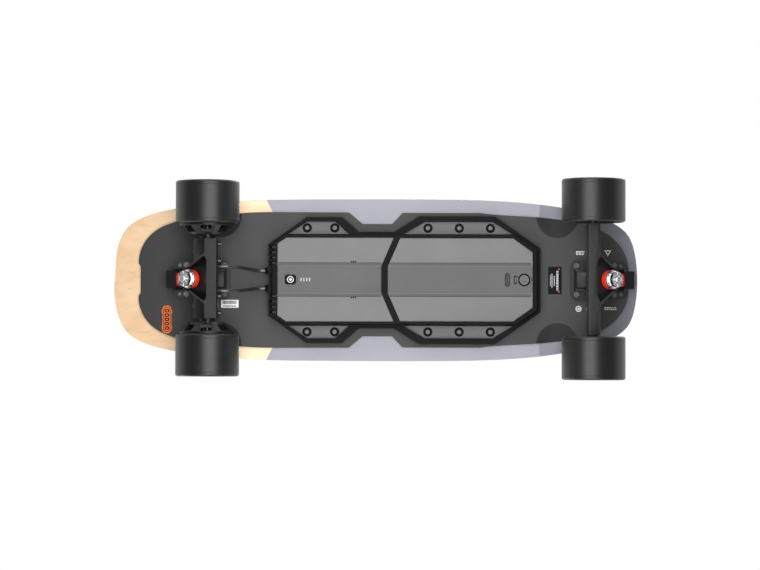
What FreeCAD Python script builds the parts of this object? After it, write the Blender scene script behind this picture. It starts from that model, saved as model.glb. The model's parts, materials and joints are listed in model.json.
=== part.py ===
"""Electric skateboard standing on its four wheels.

Frame: +Z up, Z = 0 on the ground, +X towards the nose, +Y towards the rider's left.
All sizes are millimetres.  Each named node is written to parts/NODE.step.
"""
import FreeCAD, Part
import math
import os

V = FreeCAD.Vector
UP = V(0, 0, 1)
ALONG_Y = V(0, 1, 0)

# ---- driving dimensions: board ---------------------------------------------------------
WHEEL_R = 45.0
AXLE_Z = WHEEL_R
HALF_LENGTH = 376.0
DECK_Z = 114.0               # underside of the wood
DECK_THICK = 12.0
GRIP_THICK = 1.0
KICK_START, KICK_RADIUS, KICK_ANGLE = -288.0, 140.0, 20.0
COVER_THICK = 3.0
COVER_Z = DECK_Z - COVER_THICK

# half outline of the deck, from the tail tip to the nose tip
DECK_HALF = [(-376, 0), (-371, 50), (-356, 76.5), (-327, 92.5), (-288, 102.2), (-192, 113.2),
             (-60, 116), (95, 116), (182, 113.6), (240, 108.6), (303, 97), (342, 82),
             (362, 66), (372, 41), (376, 0)]
# half outline of the moulded base cover, starting at the small notch in the tail edge
COVER_TAIL = [(-337, 19), (-340, 23.5)]
COVER_CURVE_REAR = [(-340, 23.5), (-336, 45), (-323, 64), (-288, 82.5), (-236, 91), (-190, 95.8),
                    (-150, 97.3)]
COVER_WAIST = [(-38, 97), (-18, 80.5), (24, 80.5), (39, 96.5), (150, 96.6)]
COVER_CURVE_FRONT = [(150, 96.6), (237, 90.3), (300, 80), (338, 63), (356, 42), (361, 0)]

# shallow wheel wells pressed into the base cover
WELL_DEPTH = 2.3
WELL_RADIUS = 30.0
WELLS = [(261.0, 91.0), (-222.0, 91.0)]

# ---- driving dimensions: enclosure -----------------------------------------------------
GASKET_THICK = 0.8
TUB_TOP = COVER_Z - GASKET_THICK     # where the tub meets its gasket
TUB_BOTTOM = 84.0                    # face that looks at the road
SKIRT_BOTTOM = 98.0
TUB_WALL = 3.0
PANEL_Z = 85.2                       # road face of the cover panels
CHANNEL_Z = 86.2                     # road face of their middle channel
CHANNEL_IN, CHANNEL_OUT = 19.0, 24.0
LUG_FLOOR = 104.0
LUG_PLATE = 1.5
DRAFT = 1.6
SKIRT_HALF = [(-152, 52), (-98, 90.5), (-47.5, 90.5), (-23.4, 69.3), (26.8, 69.3),
              (63.4, 92), (171, 92), (236.8, 46)]
TUB_HALF = [(-146.5, 50), (-129, 62.8), (200, 62.8), (230, 43)]
REAR_PANEL_HALF = [(-139.3, 51.4), (-127, 59.8), (26.2, 59.8), (8.7, 19)]
FRONT_PANEL_TOP = [(35.5, 59.4), (196.4, 59.4), (224.3, 39.5)]
FRONT_PANEL_NECK = (17.9, 19)
REAR_LUG = [(-124.8, 65.6), (-97.1, 83.6), (-57.7, 83.6), (-36.5, 65.6)]
FRONT_LUG = [(39.7, 65.6), (70.9, 83.4), (167.7, 83.4), (197.3, 65.6)]
LUG_SCREWS = [(-97.6, 74.4), (-58.1, 74.4), (75.3, 74.3), (120.1, 74.3), (164.8, 74.3)]
SCREW_R, SCREW_HOLE_R, SCREW_HEAD_R, SCREW_HEAD_H = 2.0, 2.2, 4.4, 2.8
SCREW_INTO_DECK = 8.0

BUTTON_X, BUTTON_LENGTH, BUTTON_WIDTH, BUTTON_CORNER = -120.9, 15.4, 13.2, 3.2
BUTTON_TRAVEL = 1.2
LIGHT_XS = [-105.9, -101.8, -97.7, -93.6]
LIGHT_SIZE = (1.6, 4.9)
PORT_X, CAP_R, CAP_HINGE_X = 212.3, 8.25, 200.6
CAP_TAIL_X = 223.4
SOCKET_BORE_R, SOCKET_DEPTH, SOCKET_FACE_Z = 4.0, 8.0, 89.4
FIN_YS = [23.8, 31.3, 39.0, 46.4]
GLAND_Y = 12.6
GLAND_Z = 97.0
CABLE_R = 2.5

# ---- driving dimensions: trucks --------------------------------------------------------
FRONT_AXLE_X, REAR_AXLE_X = 308.1, -236.7
STEER_ANGLE = 40.0                   # slope of the steering axis
RING = V(19.5, 0, 22.0)              # centre of the hanger ring, from the axle's middle
AXIS = V(math.cos(math.radians(STEER_ANGLE)), 0, math.sin(math.radians(STEER_ANGLE)))
KING = V(math.sin(math.radians(STEER_ANGLE)), 0, -math.cos(math.radians(STEER_ANGLE)))
RING_HALF = 4.0
STEER_LIMIT = 12.0
KINGPIN_R = 4.75
BUSHING_R = 13.5
ROAD_BUSHING = (RING_HALF, 12.5)
BOARD_BUSHING = (-17.0, -RING_HALF)
WASHER = (12.5, 15.0)
WASHER_R = 13.4
NUT = (15.0, 23.5)
PLATE_LOW, PLATE_HIGH = 56.0, 62.0   # baseplate, above the axle
PIVOT_R = 6.0
CUP_R, CUP_BORE_R = 9.2, 6.3
CUP_SPAN = (27.0, 41.0)
YOKE_END = 24.6                      # where the yoke stops short of the pivot cup
YOKE_WALL = 2.6
BOLT_US = (-20.5, 33.3)
EMPTY_HOLE_U = 43.0
BOLT_Y = 20.65
BOLT_R, BOLT_HOLE_R = 2.4, 2.6

# ---- driving dimensions: wheels --------------------------------------------------------
FRONT_TYRE = (80.5, 142.0)
REAR_TYRE = (78.0, 138.0)
TYRE_BORE_R = 33.0
AXLE_R = 4.0
SHAFT_R = 6.0
SHAFT_START = 38.0                   # how far from the middle the motor shafts begin
RUNNING_FIT = 0.05

os.makedirs("parts", exist_ok=True)


# ---- small makers ----------------------------------------------------------------------
def save(node, *shapes):
    """Write one node.  Several shapes become a group of separate solids."""
    shape = shapes[0] if len(shapes) == 1 else Part.makeCompound(list(shapes))
    shape.exportStep("parts/%s.step" % node)


def box(x0, x1, y0, y1, z0, z1):
    return Part.makeBox(x1 - x0, y1 - y0, z1 - z0, V(x0, y0, z0))


def rod(start, radius, length, direction=UP):
    return Part.makeCylinder(radius, length, start, direction)


def tube(start, outer, inner, length, direction=UP):
    return rod(start, outer, length, direction).cut(rod(start, inner, length, direction))


def fuse(shapes):
    return shapes[0].fuse(list(shapes[1:])).removeSplitter() if len(shapes) > 1 else shapes[0]


def mirror(shape):
    """The same piece on the other side of the board."""
    return shape.mirror(V(0, 0, 0), ALONG_Y)


def closed(half):
    """A half outline on +Y made into a whole one, symmetric about the board's middle."""
    return list(half) + [(x, -y) for x, y in reversed(half) if y > 0]


def plan_wire(points, z):
    return Part.makePolygon([V(x, y, z) for x, y in points] + [V(*points[0], z)])


def prism(points, z0, z1):
    return Part.Face(plan_wire(points, z0)).extrude(V(0, 0, z1 - z0))


def side_prism(points, y0, y1):
    """A prism across the board whose outline is given as (x, z)."""
    wire = Part.makePolygon([V(x, y0, z) for x, z in points + points[:1]])
    return Part.Face(wire).extrude(V(0, y1 - y0, 0))


def inset(points, distance):
    """Move every side of a clockwise outline inwards by a distance."""
    lines = []
    for (x0, y0), (x1, y1) in zip(points, points[1:] + points[:1]):
        length = math.hypot(x1 - x0, y1 - y0)
        nx, ny = (y1 - y0) / length, (x0 - x1) / length
        lines.append((nx, ny, nx * (x0 + nx * distance) + ny * (y0 + ny * distance)))
    corners = []
    for (a0, b0, c0), (a1, b1, c1) in zip(lines[-1:] + lines[:-1], lines):
        det = a0 * b1 - a1 * b0
        corners.append(((c0 * b1 - c1 * b0) / det, (a0 * c1 - a1 * c0) / det))
    return corners


def drafted(points, z_high, z_low, draft):
    """A prism that narrows by the draft from its upper face to its lower one."""
    wires = [plan_wire(points, z_high), plan_wire(inset(points, draft), z_low)]
    return Part.makeLoft(wires, True, True)


def rounded_slab(x, y, length, width, corner, z0, z1):
    slab = box(x - length / 2, x + length / 2, y - width / 2, y + width / 2, z0, z1)
    uprights = [e for e in slab.Edges if abs(e.Vertexes[0].Z - e.Vertexes[1].Z) > 0.01]
    return slab.makeFillet(corner, uprights)


def turned(profile, y_sign=1.0):
    """Revolve (radius, y) points about the axle line through the origin."""
    points = [V(r, y * y_sign, 0) for r, y in profile + profile[:1]]
    return Part.Face(Part.makePolygon(points)).revolve(V(0, 0, 0), ALONG_Y, 360)


def spread(points, count, shape, axis=ALONG_Y):
    """Copies of a shape turned evenly about an axis through a point."""
    copies = []
    for i in range(count):
        copy = shape.copy()
        copy.rotate(points, axis, 360.0 * i / count)
        copies.append(copy)
    return copies


def spline_edge(points):
    curve = Part.BSplineCurve()
    curve.interpolate([V(x, y, 0) for x, y in points])
    return curve.toShape()


def line_edges(points):
    return [Part.makeLine(V(*a, 0), V(*b, 0)) for a, b in zip(points, points[1:])]


# ---- deck, grip and base cover ---------------------------------------------------------
def deck_outline():
    curve = Part.BSplineCurve()
    whole = DECK_HALF + [(x, -y) for x, y in reversed(DECK_HALF[1:-1])]
    curve.interpolate(Points=[V(x, y, 0) for x, y in whole], PeriodicFlag=True)
    return Part.Wire(curve.toShape())


def bent_line(height):
    """Side line of the deck at a height above its underside: kicked tail, flat nose."""
    turn = math.radians(KICK_ANGLE)
    r = KICK_RADIUS - height
    far = HALF_LENGTH + 20.0

    def on_arc(t):
        return V(KICK_START - r * math.sin(t), 0, DECK_Z + KICK_RADIUS - r * math.cos(t))

    join = on_arc(turn)
    tail = join + V(-math.cos(turn), 0, math.sin(turn)) * ((far + join.x) / math.cos(turn))
    bend_start = on_arc(0)
    nose = V(far, 0, bend_start.z)
    edges = [Part.makeLine(tail, join), Part.Arc(join, on_arc(turn / 2), bend_start).toShape(),
             Part.makeLine(bend_start, nose)]
    return edges, tail, nose


def bent_layer(low, high):
    """The space between two heights of the bent deck, wider than the board."""
    half_width = 150.0
    low_edges, low_tail, low_nose = bent_line(low)
    high_edges, high_tail, high_nose = bent_line(high)
    caps = [Part.makeLine(low_tail, high_tail), Part.makeLine(low_nose, high_nose)]
    wire = Part.Wire(Part.__sortEdges__(low_edges + high_edges + caps))
    face = Part.Face(wire)
    face.translate(V(0, -half_width, 0))
    return face.extrude(V(0, 2 * half_width, 0))


def outline_column(wire):
    face = Part.Face(wire)
    face.translate(V(0, 0, DECK_Z - 20))
    return face.extrude(V(0, 0, 90))


def cover_outline():
    half = [spline_edge(COVER_CURVE_REAR)]
    half += line_edges([COVER_CURVE_REAR[-1]] + COVER_WAIST)
    half += [spline_edge(COVER_CURVE_FRONT)]
    half += line_edges([(COVER_TAIL[0][0], 0)] + COVER_TAIL)
    other = [e.mirror(V(0, 0, 0), ALONG_Y) for e in half]
    return Part.Wire(Part.__sortEdges__(half + other))


def lug_screw_places():
    return LUG_SCREWS + [(x, -y) for x, y in LUG_SCREWS]


def truck_bolt_places():
    """Every truck bolt, as x and y."""
    places = []
    for axle_x, side in ((FRONT_AXLE_X, 1), (REAR_AXLE_X, -1)):
        for u in BOLT_US:
            places += [(axle_x + side * u, BOLT_Y), (axle_x + side * u, -BOLT_Y)]
    return places


def drill(shape, places, radius, z0, z1):
    return shape.cut([rod(V(x, y, z0), radius, z1 - z0) for x, y in places])


def make_deck():
    column = outline_column(deck_outline())
    deck = bent_layer(0, DECK_THICK).common(column)
    deck = drill(deck, truck_bolt_places(), BOLT_HOLE_R, DECK_Z - 5, DECK_Z + 40)
    countersinks = [Part.makeCone(BOLT_HOLE_R, 5.2, 3.0, V(x, y, DECK_Z + DECK_THICK - 3.0))
                    for x, y in truck_bolt_places()]
    deck = deck.cut(countersinks)
    deck = drill(deck, lug_screw_places(), SCREW_HOLE_R, DECK_Z - 1, DECK_Z + SCREW_INTO_DECK + 0.5)
    save("deck_board", deck)
    grip = bent_layer(DECK_THICK, DECK_THICK + GRIP_THICK).common(column)
    grip = drill(grip, truck_bolt_places(), 5.4, DECK_Z, DECK_Z + 40)
    save("grip_tape", grip)


def make_base_cover():
    column = outline_column(cover_outline())
    cover = bent_layer(-COVER_THICK, 0).common(column)
    ball_r = (WELL_RADIUS ** 2 + WELL_DEPTH ** 2) / (2 * WELL_DEPTH)
    for x, y in WELLS:
        for side in (-1, 1):
            centre = V(x, side * y, COVER_Z + WELL_DEPTH - ball_r)
            cover = cover.cut(Part.makeSphere(ball_r, centre))
    cover = drill(cover, truck_bolt_places(), BOLT_HOLE_R, COVER_Z - 5, DECK_Z + 1)
    cover = drill(cover, lug_screw_places(), SCREW_HOLE_R, COVER_Z - 5, DECK_Z + 1)
    save("base_cover", cover)


# ---- enclosure -------------------------------------------------------------------------
def front_panel_half():
    return [FRONT_PANEL_NECK] + FRONT_PANEL_TOP


def panel(points):
    """A cover panel with a lower middle channel and a hidden fixing lip."""
    plate = prism(inset(points, 0.15), PANEL_Z, TUB_BOTTOM + TUB_WALL + 0.3)
    lip = prism(inset(points, -2.0), TUB_BOTTOM + TUB_WALL, TUB_BOTTOM + TUB_WALL + 1.6)
    lip = lip.common(prism(inset(closed(TUB_HALF), TUB_WALL + 0.1), TUB_BOTTOM, TUB_TOP))
    channel = [(-CHANNEL_OUT, PANEL_Z - 1), (CHANNEL_OUT, PANEL_Z - 1), (CHANNEL_OUT, PANEL_Z),
               (CHANNEL_IN, CHANNEL_Z), (-CHANNEL_IN, CHANNEL_Z), (-CHANNEL_OUT, PANEL_Z)]
    x0, x1 = points[0][0] - 40, 240.0
    face = Part.Face(Part.makePolygon([V(x0, y, z) for y, z in channel + channel[:1]]))
    return plate.fuse(lip).cut(face.extrude(V(x1 - x0, 0, 0)))


def make_enclosure_frame():
    skirt = drafted(closed(SKIRT_HALF), TUB_TOP, SKIRT_BOTTOM, 1.2)
    tub = drafted(inset(closed(TUB_HALF), -3.0), TUB_TOP, TUB_BOTTOM, 3.0)
    cavity = prism(inset(closed(TUB_HALF), TUB_WALL), TUB_BOTTOM + TUB_WALL, TUB_TOP + 1)
    frame = skirt.fuse(tub).cut(cavity)
    frame = frame.cut(prism(closed(REAR_PANEL_HALF), TUB_BOTTOM - 1, TUB_BOTTOM + TUB_WALL + 1))
    frame = frame.cut(prism(closed(front_panel_half()), TUB_BOTTOM - 1, TUB_BOTTOM + TUB_WALL + 1))
    for lug in (REAR_LUG, FRONT_LUG):
        pocket = prism(lug, SKIRT_BOTTOM - 15, LUG_FLOOR)
        frame = frame.cut([pocket, mirror(pocket)])
    cuts = []
    teeth = []
    for side in (-1, 1):
        for y in FIN_YS:
            cuts.append(box(-160, -139.2, side * y - 2.3, side * y + 2.3, 80, 106))
            tooth_y = side * (y + 3.8)
            teeth.append(box(-153.2, -146, tooth_y - 1.3, tooth_y + 1.3, 91, 107))
        cuts.append(gland_block(side, 0.1))
        cuts.append(rod(V(-160, side * GLAND_Y, GLAND_Z), 4.2, 25, V(1, 0, 0)))
    frame = frame.fuse(teeth).cut(cuts)
    frame = drill(frame, lug_screw_places(), SCREW_HOLE_R, SKIRT_BOTTOM - 20, TUB_TOP + 1)
    save("enclosure_frame", frame)


def make_gasket():
    outer = prism(inset(closed(SKIRT_HALF), 1.0), TUB_TOP, COVER_Z)
    inner = prism(inset(closed(TUB_HALF), TUB_WALL + 1.0), TUB_TOP - 1, COVER_Z + 1)
    gasket = outer.cut(inner)
    save("enclosure_gasket", drill(gasket, lug_screw_places(), SCREW_HOLE_R, TUB_TOP - 1, COVER_Z + 1))


def make_panels():
    rear = panel(closed(REAR_PANEL_HALF))
    well = rounded_slab(BUTTON_X, 0, BUTTON_LENGTH + 0.8, BUTTON_WIDTH + 0.8, BUTTON_CORNER + 0.4,
                        TUB_BOTTOM, 95)
    slots = [box(x - LIGHT_SIZE[0] / 2, x + LIGHT_SIZE[0] / 2, -LIGHT_SIZE[1] / 2,
                 LIGHT_SIZE[1] / 2, TUB_BOTTOM, 95) for x in LIGHT_XS]
    vents = [rod(V(-31 + step, side * 25.6, TUB_BOTTOM), 0.8, 2.4)
             for step in (-2.4, 0, 2.4) for side in (-1, 1)]
    rear = rear.cut([well] + slots + vents)
    save("esc_cover_panel", rear)
    front = panel(closed(front_panel_half()))
    hole = rod(V(PORT_X, 0, TUB_BOTTOM), 6.6, 12)
    save("battery_cover_panel", front.cut(hole))


def make_flange_plates():
    plates = []
    for lug in (REAR_LUG, FRONT_LUG):
        plate = prism(inset(lug, 0.2), LUG_FLOOR - LUG_PLATE, LUG_FLOOR)
        plates += [plate, mirror(plate)]
    plates = [drill(p, lug_screw_places(), SCREW_HOLE_R, LUG_FLOOR - 3, LUG_FLOOR + 1) for p in plates]
    save("flange_plates", *plates)


def hexagon(radius, depth, base, direction=UP):
    """A hexagonal prism of a given corner radius."""
    side = V(1, 0, 0) if abs(direction.x) < 0.9 else V(0, 0, 1)
    side = direction.cross(side)
    side.normalize()
    other = direction.cross(side)
    points = []
    for i in range(7):
        turn = math.radians(60 * i)
        points.append(base + side * (radius * math.cos(turn)) + other * (radius * math.sin(turn)))
    return Part.Face(Part.makePolygon(points)).extrude(direction * depth)


def lug_screw(x, y):
    seat = LUG_FLOOR - LUG_PLATE
    low = seat - SCREW_HEAD_H
    head = Part.makeCone(SCREW_HEAD_R - 1.2, SCREW_HEAD_R, 1.2, V(x, y, low))
    rim = rod(V(x, y, low + 1.2), SCREW_HEAD_R, SCREW_HEAD_H - 1.2)
    shank = rod(V(x, y, seat), SCREW_R, DECK_Z + SCREW_INTO_DECK - seat)
    return fuse([head, rim, shank]).cut(hexagon(2.2, 1.8, V(x, y, low)))


def make_lug_screws():
    save("enclosure_screws", *[lug_screw(x, y) for x, y in lug_screw_places()])


def make_power_button():
    cap = rounded_slab(BUTTON_X, 0, BUTTON_LENGTH, BUTTON_WIDTH, BUTTON_CORNER, CHANNEL_Z - 0.9, 89.4)
    save("power_button", cap)
    top = 89.4 + BUTTON_TRAVEL + 0.3
    save("power_switch", box(BUTTON_X - 6, BUTTON_X + 6, -6, 6, top, top + 4))
    lights = [box(x - LIGHT_SIZE[0] / 2, x + LIGHT_SIZE[0] / 2, -LIGHT_SIZE[1] / 2,
                  LIGHT_SIZE[1] / 2, CHANNEL_Z - 0.15, 89.5) for x in LIGHT_XS]
    save("battery_level_lights", *lights)


def make_charge_port():
    """A dust cap on a short strap, and the round socket behind it."""
    low, high = CHANNEL_Z - 1.3, CHANNEL_Z - 0.1
    disc = rod(V(PORT_X, 0, low), CAP_R, high - low)
    strap = box(CAP_HINGE_X, PORT_X, -2.6, 2.6, high - 0.8, high)
    anchor = rod(V(CAP_HINGE_X, -3.6, high - 0.8), 0.8, 7.2, ALONG_Y)
    nib = rounded_slab((PORT_X + CAP_TAIL_X) / 2, 0, CAP_TAIL_X - PORT_X, 3.2, 1.2, low, high - 0.4)
    plug = tube(V(PORT_X, 0, high), 4.8, 3.4, 2.4)
    save("charge_port_cap", fuse([disc, strap, anchor, nib, plug]))
    post = tube(V(PORT_X, 0, SOCKET_FACE_Z), 6.4, SOCKET_BORE_R, SOCKET_DEPTH)
    back = rod(V(PORT_X, 0, SOCKET_FACE_Z + SOCKET_DEPTH), 6.4, 2.0)
    save("charge_port_socket", fuse([post, back]))


def make_battery():
    """Twelve lithium cells in two rows of six, on a shallow tray, with their protection board."""
    cell_r, cell_length, pitch = 9.2, 65.0, 18.9
    z = TUB_TOP - 1.6 - cell_r
    cells = []
    for x in (50.0, 118.0):
        for i in range(6):
            cells.append(rod(V(x, (i - 2.5) * pitch, z), cell_r, cell_length, V(1, 0, 0)))
    save("battery_cells", *cells)
    save("battery_tray", box(47, 186, -58, 58, TUB_TOP - 1.6, TUB_TOP))
    save("battery_protection_board", box(26, 43, -42, 42, 96, 98))


def make_controller():
    board = box(-118, -8, -40, 40, 98, 100)
    caps = [rod(V(x, y, 90), 4.5, 8.0) for x in (-60, -46, -32) for y in (-20, 20)]
    save("speed_controller", board, *caps)
    base = box(-139, -30, -48.5, 48.5, 105.5, 109.5)
    fins = [box(-147, -136, side * y - 1.3, side * y + 1.3, 91, 106) for y in FIN_YS for side in (-1, 1)]
    save("heat_sink", fuse([base] + fins))


def gland_block(side, room=0.0):
    return rounded_slab(-150.9, side * (GLAND_Y + 0.8), 5.6 + 2 * room, 13.6 + 2 * room, 1.6,
                        90.2 - room, 104 + room)


def make_cable_glands():
    glands = []
    for side in (-1, 1):
        block = gland_block(side)
        stem = rod(V(-148.5, side * GLAND_Y, GLAND_Z), 4.0, 9.0, V(1, 0, 0))
        nose = Part.makeCone(4.2, 5.4, 4.0, V(-157.5, side * GLAND_Y, GLAND_Z), V(1, 0, 0))
        bore = rod(V(-160, side * GLAND_Y, GLAND_Z), CABLE_R, 26, V(1, 0, 0))
        glands.append(fuse([block, stem, nose]).cut(bore))
    save("cable_glands", *glands)


# ---- motor cables ----------------------------------------------------------------------
CABLE_ROUTE = [(-225.0, 17.3, 49.0), (-207.5, 17.3, 49.0), (-196.5, 17.0, 60.0), (-187.0, 15.7, 74.5),
               (-177.0, 14.0, 88.5), (-165.5, 12.6, 97.0), (-145.0, 12.6, 97.0)]
CABLE_ROOM = 0.6                     # clearance round a cable where it leaves the hanger


def cable_path(points):
    """Straight runs joined by tangent arcs, each as large as its two runs allow."""
    edges = []
    start = points[0]
    for before, corner, after in zip(points, points[1:], points[2:]):
        back = before - corner
        ahead = after - corner
        reach = 0.45 * min(back.Length, ahead.Length)
        back.normalize()
        ahead.normalize()
        turn = math.pi - back.getAngle(ahead)
        radius = reach / math.tan(turn / 2)
        print("cable bend radius %.1f mm" % radius)
        enter, leave = corner + back * reach, corner + ahead * reach
        inward = back + ahead
        inward.normalize()
        middle = corner + inward * (radius / math.cos(turn / 2) - radius)
        edges += [Part.makeLine(start, enter), Part.Arc(enter, middle, leave).toShape()]
        start = leave
    edges.append(Part.makeLine(start, points[-1]))
    return Part.Wire(edges)


def make_motor_cables():
    for name, side in (("left", 1), ("right", -1)):
        path = cable_path([V(x, side * y, z) for x, y, z in CABLE_ROUTE])
        first = path.Edges[0]
        disc = Part.Wire(Part.makeCircle(CABLE_R, first.valueAt(first.FirstParameter),
                                         first.tangentAt(first.FirstParameter)))
        cable = path.makePipeShell([disc], True, False)
        expected = math.pi * CABLE_R ** 2 * path.Length
        print("cable %s volume %.0f, section x length %.0f" % (name, cable.Volume, expected))
        save("motor_cable_" + name, cable)


# ---- trucks, made about the middle of the axle with u = outboard -----------------------
def at(s, t, y=0.0):
    """A point from the ring's centre: s along the steering axis, t along the kingpin."""
    return RING + AXIS * s + KING * t + V(0, y, 0)


def on_kingpin(t0, t1, radius):
    return rod(at(0, t0), radius, t1 - t0, KING)


def place(shape, axle_x, side):
    """Move a truck piece from its own frame to the board, turned round for the rear."""
    piece = shape.copy() if side > 0 else shape.mirror(V(0, 0, 0), V(1, 0, 0))
    piece.translate(V(axle_x, 0, AXLE_Z))
    return piece


def chamfered_plate(u0, u1, half, corner, z0, z1):
    outline = [(u0 + corner, half), (u1 - corner, half), (u1, half - corner), (u1, corner - half),
               (u1 - corner, -half), (u0 + corner, -half), (u0, corner - half), (u0, half - corner)]
    return prism(outline, z0, z1)


def make_baseplate():
    plate = chamfered_plate(-29, 51.5, 27.2, 6, PLATE_LOW, PLATE_HIGH)
    seat_line = [at(-30, BOARD_BUSHING[0]), at(60, BOARD_BUSHING[0]), at(60, 80), at(-30, 80)]
    road_side = side_prism([(p.x, p.z) for p in seat_line], -40, 40)
    boss = rod(at(0, -60), 15.2, 60 + BOARD_BUSHING[0], KING)
    boss = boss.common(box(-9, 60, -20, 20, 0, PLATE_LOW + 1))
    block = side_prism([(-24, PLATE_LOW), (-24, 36), (-21, 33), (-4, 33), (20, 44), (24, PLATE_LOW)],
                       -11, 11).cut(road_side)
    pivot = side_prism([(44, PLATE_LOW + 0.5), (46.6, 31.5), (61, 40), (61, PLATE_HIGH),
                        (44, PLATE_HIGH)], -12.5, 12.5)
    ribs = [side_prism([(-24, 57), (-22, 50), (38, 50), (47, 42), (52, 57)], y - 1.5, y + 1.5)
            for y in (-13.6, 13.6)]
    webs = [box(8, 44, -15, 15, 52, 57)]
    pads = [Part.makeCylinder(6.2, 1.4, V(u, y, PLATE_LOW - 1.4))
            for u in BOLT_US for y in (-BOLT_Y, BOLT_Y)]
    body = fuse([plate, boss, block, pivot] + ribs + webs + pads)
    holes = [rod(V(u, y, 30), BOLT_HOLE_R, 40)
             for u in BOLT_US + (EMPTY_HOLE_U,) for y in (-BOLT_Y, BOLT_Y)]
    bore = on_kingpin(-60, 0, KINGPIN_R)
    head_room = on_kingpin(-80, -28, 8.6)
    cup_room = rod(at(CUP_SPAN[0] - 20, 0), CUP_R, CUP_SPAN[1] - CUP_SPAN[0] + 20, AXIS)
    return body.cut(holes + [bore, head_room, cup_room])


def make_kingpin():
    shank = on_kingpin(-28, NUT[1] + 1.5, KINGPIN_R)
    tip = Part.makeCone(KINGPIN_R, KINGPIN_R - 1.2, 1.2, at(0, NUT[1] + 1.5), KING)
    head = hexagon(8.2, 5.0, at(0, -33), KING)
    return fuse([head, shank, tip])


def make_kingpin_nut():
    """A flanged round nut with grooves all round its crown."""
    flange = on_kingpin(NUT[0], NUT[0] + 1.8, 12.4)
    slope = Part.makeCone(12.0, 10.6, 1.4, at(0, NUT[0] + 1.8), KING)
    crown = on_kingpin(NUT[0] + 3.2, NUT[1], 10.8)
    groove = Part.makeCylinder(1.6, 8, at(0, NUT[1] - 0.6, 6.2), ALONG_Y)
    body = fuse([flange, slope, crown]).cut(spread(RING, 8, groove, KING))
    return body.cut(on_kingpin(NUT[0] - 1, NUT[1] + 1, KINGPIN_R))


def make_bushing(span, waist):
    """A urethane bushing: a barrel with a slightly narrower waist."""
    t0, t1 = span
    middle = (t0 + t1) / 2
    solids = []
    for edge, inner in ((t0, middle), (t1, middle)):
        low, high = min(edge, inner), max(edge, inner)
        r_low = BUSHING_R if low == edge else waist
        r_high = BUSHING_R if high == edge else waist
        solids.append(Part.makeCone(r_low, r_high, high - low, at(0, low), KING))
    return fuse(solids).cut(on_kingpin(t0 - 1, t1 + 1, KINGPIN_R))


def make_cup_washer():
    disc = on_kingpin(WASHER[0], WASHER[1], WASHER_R)
    return disc.cut(on_kingpin(WASHER[0] - 1, WASHER[1] + 1, KINGPIN_R))


def make_pivot_cup():
    length = CUP_SPAN[1] - CUP_SPAN[0]
    body = rod(at(CUP_SPAN[0], 0), CUP_R, length, AXIS)
    lip = rod(at(CUP_SPAN[0] - 1.8, 0), CUP_R, 1.8, AXIS)
    bore = rod(at(CUP_SPAN[0] - 3, 0), CUP_BORE_R, length, AXIS)
    return fuse([body, lip]).cut(bore)


def hanger_yoke(inner_corner, outer_corner, beam_floor):
    """The V-shaped yoke: a tilted ring plate with walls that meet in front of the pivot nose."""
    corners = [inner_corner, outer_corner, (42.4, 7.0)]
    plan = corners + [(u, -half) for u, half in reversed(corners)]
    back = inner_corner[0]
    outline = [at(-26, -RING_HALF), at(YOKE_END, -RING_HALF), at(YOKE_END, 2), at(21.5, 10),
               V(max(outer_corner[0], 9), 0, beam_floor), V(back - 4, 0, beam_floor)]
    yoke = prism(plan, -30, 60).common(side_prism([(p.x, p.z) for p in outline], -60, 60))
    pocket_plan = inset(plan, YOKE_WALL)
    above = [at(-60, RING_HALF), at(60, RING_HALF), at(60, 90), at(-60, 90)]
    pocket = prism(pocket_plan, -60, 60).common(side_prism([(p.x, p.z) for p in above], -60, 60))
    return yoke, pocket


def swing_room():
    """What the washer and nut take from the yoke as the hanger swings between its limits."""
    sweep = []
    for i in range(-2, 3):
        washer_room = on_kingpin(WASHER[0] - 0.5, WASHER[1] + 3, WASHER_R + 0.5)
        nut_room = on_kingpin(NUT[0], NUT[1] + 3, 12.9)
        for room in (washer_room, nut_room):
            room.rotate(RING, AXIS, STEER_LIMIT * i / 2)
            sweep.append(room)
    return sweep


def finish_hanger(beam, yoke, pocket, bores, keep=()):
    ring = on_kingpin(-RING_HALF, RING_HALF, 16.4)
    shoulder = Part.makeCone(8.4, PIVOT_R, 6, at(18, 0), AXIS)
    nose = rod(at(12, 0), PIVOT_R, CUP_SPAN[1] - 4 - 12, AXIS)
    road_well = on_kingpin(RING_HALF, 60, BUSHING_R + 0.6)
    board_well = on_kingpin(-60, -RING_HALF, BUSHING_R + 0.6)
    body = fuse([beam, yoke, ring]).cut(pocket)
    body = fuse([body, nose, shoulder] + list(keep))
    body = body.cut([road_well, board_well, on_kingpin(-30, 60, 6.6)] + list(bores))
    for room in swing_room():
        body = body.cut(room)
    return body


def make_front_hanger():
    profile = [(-9.5, -9), (-7, -11.5), (6, -11.5), (9, -8.5), (9, 8), (5, 12), (-6, 12), (-9.5, 9)]
    beam = side_prism(profile, -79, 79)
    ends = [rod(V(0, y, 0), 8.2, 1.4, ALONG_Y) for y in (-80.2, 78.8)]
    yoke, pocket = hanger_yoke((0.2, 22), (9, 37), -9.5)
    sleeve = box(-8, 5.6, -34, 34, -5.6, 8)
    axle_bore = rod(V(0, -95, 0), AXLE_R, 190, ALONG_Y)
    return finish_hanger(fuse([beam] + ends), yoke, pocket, [axle_bore], [sleeve])


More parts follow.
